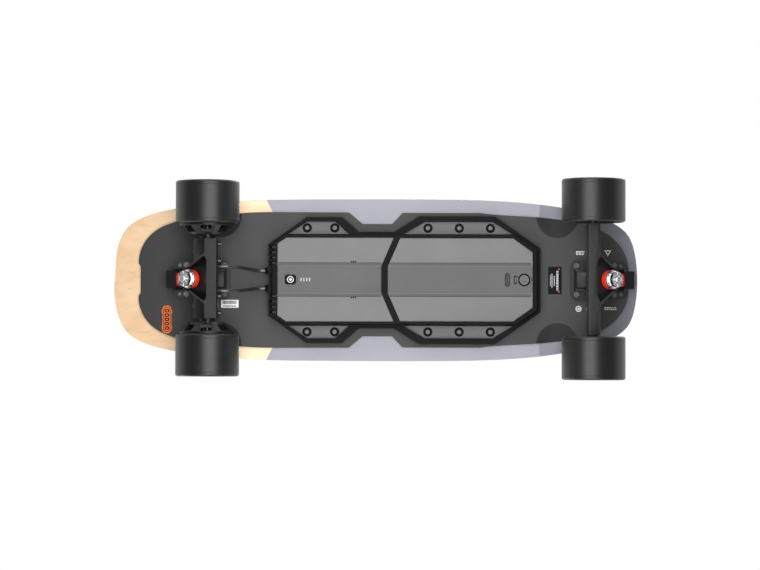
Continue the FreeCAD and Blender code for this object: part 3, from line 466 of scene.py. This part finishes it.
def make_cover():
    obj = softened("base_cover", "cover", "board", 0.0006, 2)
    obj.data.materials.append(MATERIALS["dish"])
    # Faces inside the wheel wells take the darker dish colour: painted shade.
    for polygon in obj.data.polygons:
        corners = [obj.data.vertices[i].co for i in polygon.vertices]
        inside = any(all(math.hypot(c.x - x, c.y - y) < DISH_R for c in corners)
                     for x in DISH_XS for y in (-DISH_Y, DISH_Y))
        deep = max(c.z for c in corners) > COVER_Z + 0.0002
        if inside and deep:
            polygon.material_index = 1
    highlit_edges(obj, "cover_edge")


def make_panels():
    """The two panels; their middle channel is a shade darker, and the hidden lips are black."""
    for node in ("esc_cover_panel", "battery_cover_panel"):
        obj = softened(node, "panel", "board", 0.0004)
        obj.data.materials.append(MATERIALS["panel_low"])
        obj.data.materials.append(MATERIALS["frame"])
        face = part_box(node)[0].z
        for polygon in obj.data.polygons:
            corners = [obj.data.vertices[i].co for i in polygon.vertices]
            if min(c.z for c in corners) > face + 0.0013:
                polygon.material_index = 2
            elif max(abs(c.y) for c in corners) < CHANNEL_HALF:
                polygon.material_index = 1
        highlit_edges(obj, "panel_edge")


def make_enclosure():
    softened("enclosure_frame", "frame", "board", 0.0006, edge="frame_edge")
    softened("flange_plates", "flange", "board", 0.0004, 2, edge="panel_edge")
    softened("cable_glands", "frame", "board", 0.0004, 2)
    softened("enclosure_screws", "screw", "board", 0.0003, 2)
    softened("charge_port_cap", "panel", "charge_cap", 0.0003, 2)
    softened("power_button", "frame", "power_button", 0.0003, 2)


def make_screw_rings():
    """A dark sunk washer round each flange screw."""
    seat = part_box("flange_plates")[0].z
    bm = bmesh.new()
    for x, y in screw_places():
        profile = [(0.0041, 0.0001), (0.0041, -0.0004), (0.0064, -0.0004), (0.0068, 0.0001)]
        revolve(bm, profile, (x, y, seat), (0, 0, 1), 40)
    new_object("screw_washers", bm, MATERIALS["dark"], "board")


def screw_places():
    """The middles of the flange screws, from the CAD's own screws."""
    mesh = NODES["enclosure_screws"].data
    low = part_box("enclosure_screws")[0]
    heads = [v.co for v in mesh.vertices if v.co.z < low.z + 0.0005]
    places = []
    for co in heads:
        near = [p for p in places if math.hypot(p[0] / p[2] - co.x, p[1] / p[2] - co.y) < 0.008]
        if near:
            near[0][0] += co.x
            near[0][1] += co.y
            near[0][2] += 1
        else:
            places.append([co.x, co.y, 1])
    return [(x / n, y / n) for x, y, n in places]


def make_button_marks():
    """The white ring on the power button, and the mark inside it."""
    middle = centre("power_button")
    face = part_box("power_button")[0].z
    bm = bmesh.new()
    revolve(bm, [(0.0037, 0.0001), (0.0037, -0.00015), (0.0047, -0.00015), (0.0047, 0.0001)],
            (middle.x, middle.y, face), (0, 0, 1), 64)
    revolve(bm, [(0.0006, 0.0001), (0.0006, -0.00015), (0.0019, -0.00015), (0.0019, 0.0001)],
            (middle.x, middle.y, face), (0, 0, 1), 48)
    new_object("power_button_ring", bm, MATERIALS["white"], "power_button")


def make_panel_marks():
    """Dots by the divider, and an oval outline with four small rings in it."""
    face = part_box("battery_cover_panel")[0].z
    bm = bmesh.new()
    for side in (-1, 1):
        for step in (-1, 0, 1):
            x, y = -0.031 + 0.0028 * step, side * 0.0256
            revolve(bm, [(0.0001, -MARK), (0.0011, -MARK), (0.0011, SUNK), (0.0001, SUNK)],
                    (x, y, face), (0, 0, 1), 16)
    middle = (0.1883, 0.0)
    plate(bm, capsule(*middle, 0.0068, 0.0190, 0.0033), face - MARK, face + SUNK,
          capsule(*middle, 0.0050, 0.0172, 0.0024))
    for step in (-1.5, -0.5, 0.5, 1.5):
        y = 0.0038 * step
        plate(bm, capsule(middle[0], y, 0.0032, 0.0026, 0.0008, 3), face - MARK, face + SUNK,
              capsule(middle[0], y, 0.0022, 0.0016, 0.0004, 3))
    new_object("panel_marks", bm, MATERIALS["dark"], "board")


def make_panel_steps():
    """Painted shade on the sloping step on each side of the panels' middle channel, with a painted
    shadow line and a painted highlight on its two edges.
    """
    for node, (first, last) in STEP_ENDS.items():
        low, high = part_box(node)
        at_tail = node == "esc_cover_panel"
        x0 = low.x + first if at_tail else first
        x1 = last if at_tail else high.x + last
        for key, y0, y1, lift in STEP_STRIPS:
            bm = bmesh.new()
            for side in (-1, 1):
                ends = sorted((side * y0, side * y1))
                block(bm, (x0, ends[0], low.z - lift), (x1, ends[1], low.z + MARK))
            new_object("%s_%s" % (node, key), bm, MATERIALS[key], "board")


def make_cap_marks():
    """The dark rim and ribs of the charge cap, and the dark outline beside it on the panel, which is
    painted shade of a recess.
    """
    middle = centre("charge_port_socket")
    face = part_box("battery_cover_panel")[0].z
    out, sunk = face - CAP_MARK, face + SUNK
    bm = bmesh.new()
    revolve(bm, [(0.0067, -CAP_MARK), (0.0083, -CAP_MARK), (0.0088, SUNK), (0.0067, SUNK)],
            (middle.x, middle.y, face), (0, 0, 1), 72)
    plate(bm, capsule(middle.x + 0.0099, 0, 0.0018, 0.0026, 0.0008, 5), out, sunk)
    new_object("charge_cap_rim", bm, MATERIALS["dark"], "charge_cap")
    # A flat dark outline round the cap's tab, standing for its recess: painted shade.
    bm = bmesh.new()
    tab_x = middle.x - 0.0125
    plate(bm, capsule(tab_x, 0, 0.0046, 0.0118, 0.0022), out, sunk,
          capsule(tab_x, 0, 0.0028, 0.0100, 0.0013))
    new_object("charge_port_recess_shade", bm, MATERIALS["dark"], "board")
    bm = bmesh.new()
    for step in range(-2, 3):
        y = 0.0021 * step
        half = 0.8 * math.sqrt(0.0066 ** 2 - y ** 2)
        block(bm, (middle.x - half, y - 0.0003, out), (middle.x + half, y + 0.0003, sunk))
    new_object("charge_cap_ribs", bm, MATERIALS["panel_shade"], "charge_cap")


# ---- stickers ----------------------------------------------------------------------------
def rows_of_bars(bm, low, high, rows, seed, along="y", gap=0.45):
    """Rows of short generic bars inside a rectangle, in place of print."""
    random.seed(seed)
    across = 0 if along == "y" else 1
    run = 1 - across
    pitch = (high[across] - low[across]) / rows
    for row in range(rows):
        start = low[across] + pitch * (row + gap / 2)
        end = start + pitch * (1 - gap)
        place = low[run]
        while place < high[run] - 0.0006:
            length = min(random.uniform(0.0008, 0.0036), high[run] - place)
            a, b = [0, 0], [0, 0]
            a[across], b[across] = start, end
            a[run], b[run] = place, place + length
            block(bm, (*a, low[2]), (*b, high[2]))
            place += length + 0.0007


def make_rating_label():
    softened("rating_label", "black_film", "board", 0.0001, 2)
    low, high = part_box("rating_label")
    out, sunk = low.z - FILM, low.z + FILM_SUNK
    bm = bmesh.new()
    for x0, x1, y0, y1 in LABEL_ROWS:
        rows_of_bars(bm, (low.x + x0, low.y + y0, out), (low.x + x1, low.y + y1, sunk), 1, 7, "y", 0.3)
    new_object("rating_label_bars", bm, MATERIALS["print"], "board")
    bm = bmesh.new()
    for y in (low.y + 0.0025, high.y - 0.0045):
        block(bm, (low.x + 0.0145, y, out), (low.x + 0.0165, y + 0.002, sunk))
    new_object("rating_label_accents", bm, MATERIALS["red_film"], "board")


def make_serial_sticker():
    softened("serial_sticker", "white", "board", 0.0001, 2)
    low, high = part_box("serial_sticker")
    out, sunk = low.z - FILM, low.z + FILM_SUNK
    bm = bmesh.new()
    random.seed(3)
    x = low.x + 0.002
    while x < high.x - 0.002:
        width = random.choice((0.0003, 0.0005, 0.0008))
        block(bm, (x, low.y + 0.0012, out), (x + width, low.y + 0.0060, sunk))
        x += width + random.choice((0.0003, 0.0005))
    rows_of_bars(bm, (low.x + 0.003, low.y + 0.0075, out), (high.x - 0.003, high.y - 0.0008, sunk),
                 1, 11, "x")
    new_object("serial_sticker_bars", bm, MATERIALS["black_film"], "board")


def tail_rise(x):
    """How far the bent tail has risen at x."""
    behind = max(0.0, TAIL_BEND_X - x)
    bent = min(behind, TAIL_BEND_R * math.sin(TAIL_ANGLE))
    return TAIL_BEND_R - math.sqrt(TAIL_BEND_R ** 2 - bent ** 2) + (behind - bent) * math.tan(TAIL_ANGLE)


def make_tail_badge():
    """The orange tail badge: a capsule with side bumps, and plain dark lines in place of a name."""
    low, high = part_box("tail_badge")
    middle = (low + high) / 2
    length, width = high.y - low.y, high.x - low.x
    out, sunk, lines_out = COVER_Z - BADGE_THICK, COVER_Z + MARK, COVER_Z - BADGE_THICK - FILM
    body = bmesh.new()
    plate(body, capsule(middle.x, middle.y, width * 0.88, length, 0.0058, 10), out, sunk)
    for dy in (-0.0115, 0.0115):
        plate(body, capsule(middle.x, middle.y + dy, width, 0.0075, 0.0022, 5), out, sunk)
    lines = bmesh.new()
    plate(lines, capsule(middle.x, middle.y, width * 0.72, length * 0.90, 0.0048, 10), lines_out,
          COVER_Z, capsule(middle.x, middle.y, width * 0.58, length * 0.85, 0.0038, 10))
    for step in range(-2, 3):
        y = middle.y + step * 0.0062
        plate(lines, capsule(middle.x, y, width * 0.44, 0.0050, 0.0014, 4), lines_out, COVER_Z,
              capsule(middle.x, y, width * 0.44 - 0.0032, 0.0018, 0.0005, 4))
    for bm in (body, lines):
        for vert in bm.verts:
            vert.co.z += tail_rise(vert.co.x)
    obj = new_object("tail_badge_body", body, MATERIALS["badge"], "board")
    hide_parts("tail_badge")
    new_object("tail_badge_lines", lines, MATERIALS["dark"], "board")


def make_cover_print():
    """Short pale dashes and plain signs beside the front truck, with no words."""
    bm = bmesh.new()
    z0, z1 = COVER_Z - MARK, COVER_Z + SUNK
    rows_of_bars(bm, (0.2880, -0.0425, z0), (0.3000, -0.0365, z1), 3, 5, "x")
    rows_of_bars(bm, (0.3285, 0.0375, z0), (0.3460, 0.0425, z1), 2, 6, "x")
    for x in (0.2915, 0.3065):
        plate(bm, capsule(x, 0.0405, 0.0085, 0.0085, 0.00425, 10), z0, z1,
              capsule(x, 0.0405, 0.0060, 0.0060, 0.0030, 10))
        plate(bm, capsule(x, 0.0405, 0.0030, 0.0030, 0.0010, 4), z0, z1)
    triangle = [(0.3285, -0.0435), (0.3385, -0.0435), (0.3335, -0.0345)]
    inner = [(0.3312, -0.0418), (0.3358, -0.0418), (0.3335, -0.0378)]
    plate(bm, triangle, z0, z1, inner)
    new_object("cover_print", bm, MATERIALS["white"], "board")


# ---- truck pieces ------------------------------------------------------------------------
def make_truck_skins():
    for name, body in (("front", "front_truck"), ("rear", "rear_truck")):
        hanger_metal = "metal_front" if name == "front" else "metal"
        softened(name + "_baseplate", "metal_plate", "board", 0.0008,
                 edge="metal_edge")
        softened(name + "_hanger", hanger_metal, body, 0.0008, edge="metal_edge")
    softened("truck_bolt_nuts", "screw", "board", 0.0004, 2)
    softened("rear_clamp_screws", "screw", "rear_truck", 0.0003, 2)


def bushing_profile(length):
    """A bushing's closed section as (radius, distance along the kingpin), with a slight waist."""
    lip = BUSHING_LIP
    profile = [(BUSHING_BORE, 0.0), (BUSHING_R - lip, 0.0)]
    profile += arc_profile((BUSHING_R - lip, lip), lip, -90, 0, 4)
    for i in range(9):
        t = lip + (length - 2 * lip) * i / 8
        profile.append((BUSHING_R - 0.0004 * math.sin(math.pi * i / 8), t))
    profile += arc_profile((BUSHING_R - lip, length - lip), lip, 0, 90, 4)
    return profile + [(BUSHING_BORE, length)]


def make_bushings():
    """Barrel bushings with moulded ribs, set along each kingpin between the board and its hanger."""
    for name, x, out in (("front", FRONT_X, 1), ("rear", REAR_X, -1)):
        axis = Vector((out * math.sin(KING_TILT), 0, -math.cos(KING_TILT)))
        ring = Vector((x + out * RING_OUT, 0, AXLE_Z + RING_UP))
        for place, (low, high) in BUSHING_SPANS.items():
            node = "%s_%s_bushing" % (name, place)
            start, length = ring + axis * low, high - low
            bm = bmesh.new()
            revolve(bm, bushing_profile(length), start, axis, 96)
            add_ribs(bm, start, axis, BUSHING_R, length)
            obj = new_object(node + "_skin", bm, MATERIALS["orange"], None)
            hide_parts(node)
            if place == "roadside":
                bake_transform(obj)
            else:
                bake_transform(obj)


def add_ribs(bm, start, axis, radius, length):
    """Short raised blocks round the waist, in place of moulded lettering."""
    across = axis.orthogonal().normalized()
    up = axis.cross(across)
    for i in range(RIB_COUNT):
        if i % RIB_GAP == RIB_GAP - 1:
            continue
        turn = 2 * math.pi * i / RIB_COUNT
        corners = []
        for r in (radius - 0.0008, radius - 0.00005):
            for along in (length * 0.3, length * 0.7):
                for spread in (-0.07, 0.07):
                    t = turn + spread
                    point = start + axis * along + (across * math.cos(t) + up * math.sin(t)) * r
                    corners.append(bm.verts.new(point))
        for quad in ((0, 1, 3, 2), (4, 6, 7, 5), (0, 4, 5, 1), (2, 3, 7, 6), (0, 2, 6, 4), (1, 5, 7, 3)):
            bm.faces.new([corners[k] for k in quad])


def make_kingpin_parts():
    softened("kingpins", "steel", "board", 0.0004, 2)
    softened("kingpin_nuts", "chrome", "board", 0.0003, 3)
    softened("cup_washers", "chrome", "board", 0.0004, 3)
    softened("pivot_cups", "orange", "board", 0.0006, 3)


# ---- motor cables ------------------------------------------------------------------------
CABLE_ROUTE = [(-0.2250, 0.0173, 0.0490), (-0.2075, 0.0173, 0.0490), (-0.1965, 0.0170, 0.0600),
               (-0.1870, 0.0157, 0.0745), (-0.1770, 0.0140, 0.0885), (-0.1655, 0.0126, 0.0970),
               (-0.1450, 0.0126, 0.0970)]
CABLE_R = 0.0025
CABLE_SIDES = 20


def cable_line(points):
    """The CAD route: straight runs joined by tangent arcs, as closely spaced points."""
    line = [points[0]]
    for before, corner, after in zip(points, points[1:], points[2:]):
        back, ahead = before - corner, after - corner
        reach = 0.45 * min(back.length, ahead.length)
        back.normalize()
        ahead.normalize()
        turn = math.pi - back.angle(ahead)
        radius = reach / math.tan(turn / 2)
        hub = corner + (back + ahead).normalized() * (radius / math.cos(turn / 2))
        enter, leave = corner + back * reach - hub, corner + ahead * reach - hub
        for i in range(9):
            line.append(hub + enter.normalized().slerp(leave.normalized(), i / 8) * radius)
    line.append(points[-1])
    return line


def make_cables():
    for name, side in SIDES:
        line = cable_line([Vector((x, side * y, z)) for x, y, z in CABLE_ROUTE])
        bm = bmesh.new()
        rings = []
        normal = Vector((0, 1, 0))
        for i, point in enumerate(line):
            ahead = (line[min(i + 1, len(line) - 1)] - line[max(i - 1, 0)]).normalized()
            across = (normal - ahead * normal.dot(ahead)).normalized()
            up = ahead.cross(across)
            ring = []
            for k in range(CABLE_SIDES):
                turn = 2 * math.pi * k / CABLE_SIDES
                offset = (across * math.cos(turn) + up * math.sin(turn)) * CABLE_R
                ring.append(bm.verts.new(point + offset))
            rings.append(ring)
        for low, high in zip(rings, rings[1:]):
            for k in range(CABLE_SIDES):
                j = (k + 1) % CABLE_SIDES
                bm.faces.new((low[k], low[j], high[j], high[k]))
        bm.faces.new(rings[0])
        bm.faces.new(rings[-1])
        obj = new_object("motor_cable_skin_" + name, bm, MATERIALS["rubber"], None)
        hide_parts("motor_cable_" + name)
        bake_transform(obj)


# ---- wheels ------------------------------------------------------------------------------
def tyre_section(y0, y1):
    """A tyre's closed section as (radius, |y|): flat tread, tight lips, ribbed side walls."""
    lip = 0.0036
    bore, wall = 0.0330, 0.0006
    section = [(bore, y0 + 0.003), (0.0345, y0 + 0.0012), (0.0360, y0 + wall), (0.0385, y0 + wall),
               (0.0392, y0)]
    section += arc_profile((WHEEL_R - lip, y0 + lip), lip, -90, 0, 8)
    section += [(WHEEL_R, y0 + 0.0058), (WHEEL_R - 0.00025, y0 + 0.0061), (WHEEL_R, y0 + 0.0064)]
    section += [(WHEEL_R, y1 - 0.0064), (WHEEL_R - 0.00025, y1 - 0.0061), (WHEEL_R, y1 - 0.0058)]
    section += arc_profile((WHEEL_R - lip, y1 - lip), lip, 0, 90, 8)
    section += [(0.0392, y1), (0.0385, y1 - wall), (0.0360, y1 - wall), (0.0345, y1 - 0.0012),
                (bore, y1 - 0.003)]
    return section


def make_wheels():
    for end, x in (("front", FRONT_X), ("rear", REAR_X)):
        for name, side in SIDES:
            node = "%s_tyre_%s" % (end, name)
            body = "%s_wheel_%s" % (end, name)
            low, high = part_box(node)
            y0, y1 = sorted((abs(low.y), abs(high.y)))
            bm = bmesh.new()
            revolve(bm, tyre_section(y0, y1), (x, 0, AXLE_Z), (0, side, 0), 144)
            obj = new_object(node + "_skin", bm, MATERIALS["tyre"], body, 30)
            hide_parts(node)
    for name, side in SIDES:
        softened("front_wheel_core_" + name, "frame", "front_wheel_" + name, 0.0008,
                 edge="frame_edge")
        softened("motor_can_" + name, "metal", "rear_wheel_" + name, 0.0006,
                 edge="metal_edge")


PLAIN = {
    "charge_port_socket": "frame", "heat_sink": "sink", "battery_level_lights": "light",
    "enclosure_gasket": "rubber", "riser_pads": "rubber", "battery_cells": "cell",
    "battery_tray": "frame", "battery_protection_board": "board", "speed_controller": "board",
    "power_switch": "board", "front_axle": "screw", "front_axle_nuts": "screw",
    "motor_shafts": "screw", "motor_stators": "copper", "truck_bolts": "screw",
    "front_wheel_bearings_left": "steel", "front_wheel_bearings_right": "steel",
    "motor_bearings_left": "screw", "motor_bearings_right": "screw",
}


def paint_nodes():
    """Better materials on the CAD nodes whose shape is already right."""
    for node, key in PLAIN.items():
        NODES[node].data.materials.clear()
        NODES[node].data.materials.append(MATERIALS[key])


# ---- camera, light and floor -------------------------------------------------------------
CAMERA_DISTANCE = 4.0
CAMERA_LENS = 134.3
CAMERA_AIM = (0.0068, 0.0086)
CAMERA_ROLL = math.radians(0.125)
CAMERA_ORBIT = math.radians(1.4)      # how far the camera stands round towards the rider's left


def make_camera():
    data = bpy.data.cameras.new("camera")
    data.lens = CAMERA_LENS
    data.clip_end = 50.0
    camera = bpy.data.objects.new("camera", data)
    aim = Vector((*CAMERA_AIM, AXLE_Z))
    back = Vector((0, math.sin(CAMERA_ORBIT), -math.cos(CAMERA_ORBIT)))
    camera.location = aim + back * CAMERA_DISTANCE
    turn = Matrix.Rotation(math.pi + CAMERA_ORBIT, 4, "X") @ Matrix.Rotation(CAMERA_ROLL, 4, "Z")
    camera.rotation_euler = turn.to_euler()
    bpy.context.scene.collection.objects.link(camera)
    bpy.context.scene.camera = camera


def area_light(name, place, aim, size, power, color=(1, 1, 1)):
    data = bpy.data.lights.new(name, "AREA")
    data.shape = "RECTANGLE"
    data.size, data.size_y = size
    data.energy = power
    data.color = color
    light = bpy.data.objects.new(name, data)
    light.location = place
    light.rotation_euler = (Vector(aim) - Vector(place)).to_track_quat("-Z", "Y").to_euler()
    bpy.context.scene.collection.objects.link(light)
    return light


ROOM_BELOW = 0.14                     # how bright the room is under the board
ROOM_ABOVE = 0.95                     # and above it, behind the board in the main view


def make_world():
    """A white backdrop; as light it is bright above the board and dim below it."""
    world = bpy.data.worlds.new("pale_room")
    world.use_nodes = True
    tree = world.node_tree
    paths = tree.nodes.new("ShaderNodeLightPath")
    split = tree.nodes.new("ShaderNodeSeparateXYZ")
    tree.links.new(tree.nodes.new("ShaderNodeTexCoord").outputs["Generated"], split.inputs[0])
    height = tree.nodes.new("ShaderNodeMapRange")
    for socket, value in (("From Min", -0.25), ("From Max", 0.15), ("To Min", ROOM_BELOW),
                          ("To Max", ROOM_ABOVE)):
        height.inputs[socket].default_value = value
    tree.links.new(split.outputs[2], height.inputs["Value"])
    strength = tree.nodes.new("ShaderNodeMapRange")
    strength.inputs["To Max"].default_value = 1.0
    tree.links.new(height.outputs[0], strength.inputs["To Min"])
    tree.links.new(paths.outputs["Is Camera Ray"], strength.inputs["Value"])
    background = tree.nodes["Background"]
    background.inputs[0].default_value = (1.0, 1.0, 1.0, 1.0)
    tree.links.new(strength.outputs[0], background.inputs[1])
    bpy.context.scene.world = world


def make_lights():
    """A wide soft box below the board, two pairs of boxes at its sides and two lamps above."""
    area_light("box_below", (0.0, 0.0, -0.85), (0, 0, 0.1), (0.72, 1.5), 13.5)
    for side in (-1, 1):
        area_light("side_box", (0.0, side * 1.4, -1.0), (0, 0, 0.1), (1.8, 0.5), 9.0)
        area_light("flank", (0.0, side * 2.0, 0.30), (0, 0, 0.07), (1.8, 0.4), 9.0)
    area_light("above_key", (0.7, -1.3, 1.9), (0, 0, 0.1), (1.4, 1.4), 22)
    area_light("above_fill", (-1.2, 1.5, 1.3), (0, 0, 0.1), (1.2, 1.2), 8)


def floor_material():
    """Pale floor seen from above; clear from below, where the camera looks up through it."""
    s = Shader("pale_floor", (0.82, 0.82, 0.82), 0.6)
    s.put("Base Color", s.blend(s.noise(3.0, 2.0), (0.88, 0.88, 0.88), (0.91, 0.91, 0.91)))
    clear = s.node("BsdfTransparent")
    back = s.node("NewGeometry").outputs["Backfacing"]
    mix = s.node("MixShader", {0: back})
    s.links.new(s.surface.outputs[0], mix.inputs[1])
    s.links.new(clear.outputs[0], mix.inputs[2])
    output = s.nodes["Material Output"]
    s.links.new(mix.outputs[0], output.inputs["Surface"])
    return s.material


def make_floor():
    bm = bmesh.new()
    half = 6.0
    corners = [bm.verts.new((x * half, y * half, 0)) for x, y in ((-1, -1), (1, -1), (1, 1), (-1, 1))]
    bm.faces.new(corners)
    data = bpy.data.meshes.new("floor")
    bm.to_mesh(data)
    bm.free()
    floor = bpy.data.objects.new("floor", data)
    data.materials.append(floor_material())
    bpy.context.scene.collection.objects.link(floor)
    floor.visible_diffuse = False
    floor.visible_glossy = False
    floor.visible_transmission = False
    floor.visible_shadow = False


def make_view_settings():
    scene = bpy.context.scene
    scene.view_settings.view_transform = "Standard"
    scene.view_settings.look = "None"


make_camera()
make_world()
make_lights()
make_floor()
make_view_settings()
make_materials()
make_board()
make_cover()
make_panels()
make_enclosure()
make_screw_rings()
make_button_marks()
make_panel_marks()
make_panel_steps()
make_cap_marks()
make_rating_label()
make_serial_sticker()
make_tail_badge()
make_cover_print()
make_truck_skins()
make_bushings()
make_kingpin_parts()
make_cables()
make_wheels()
paint_nodes()
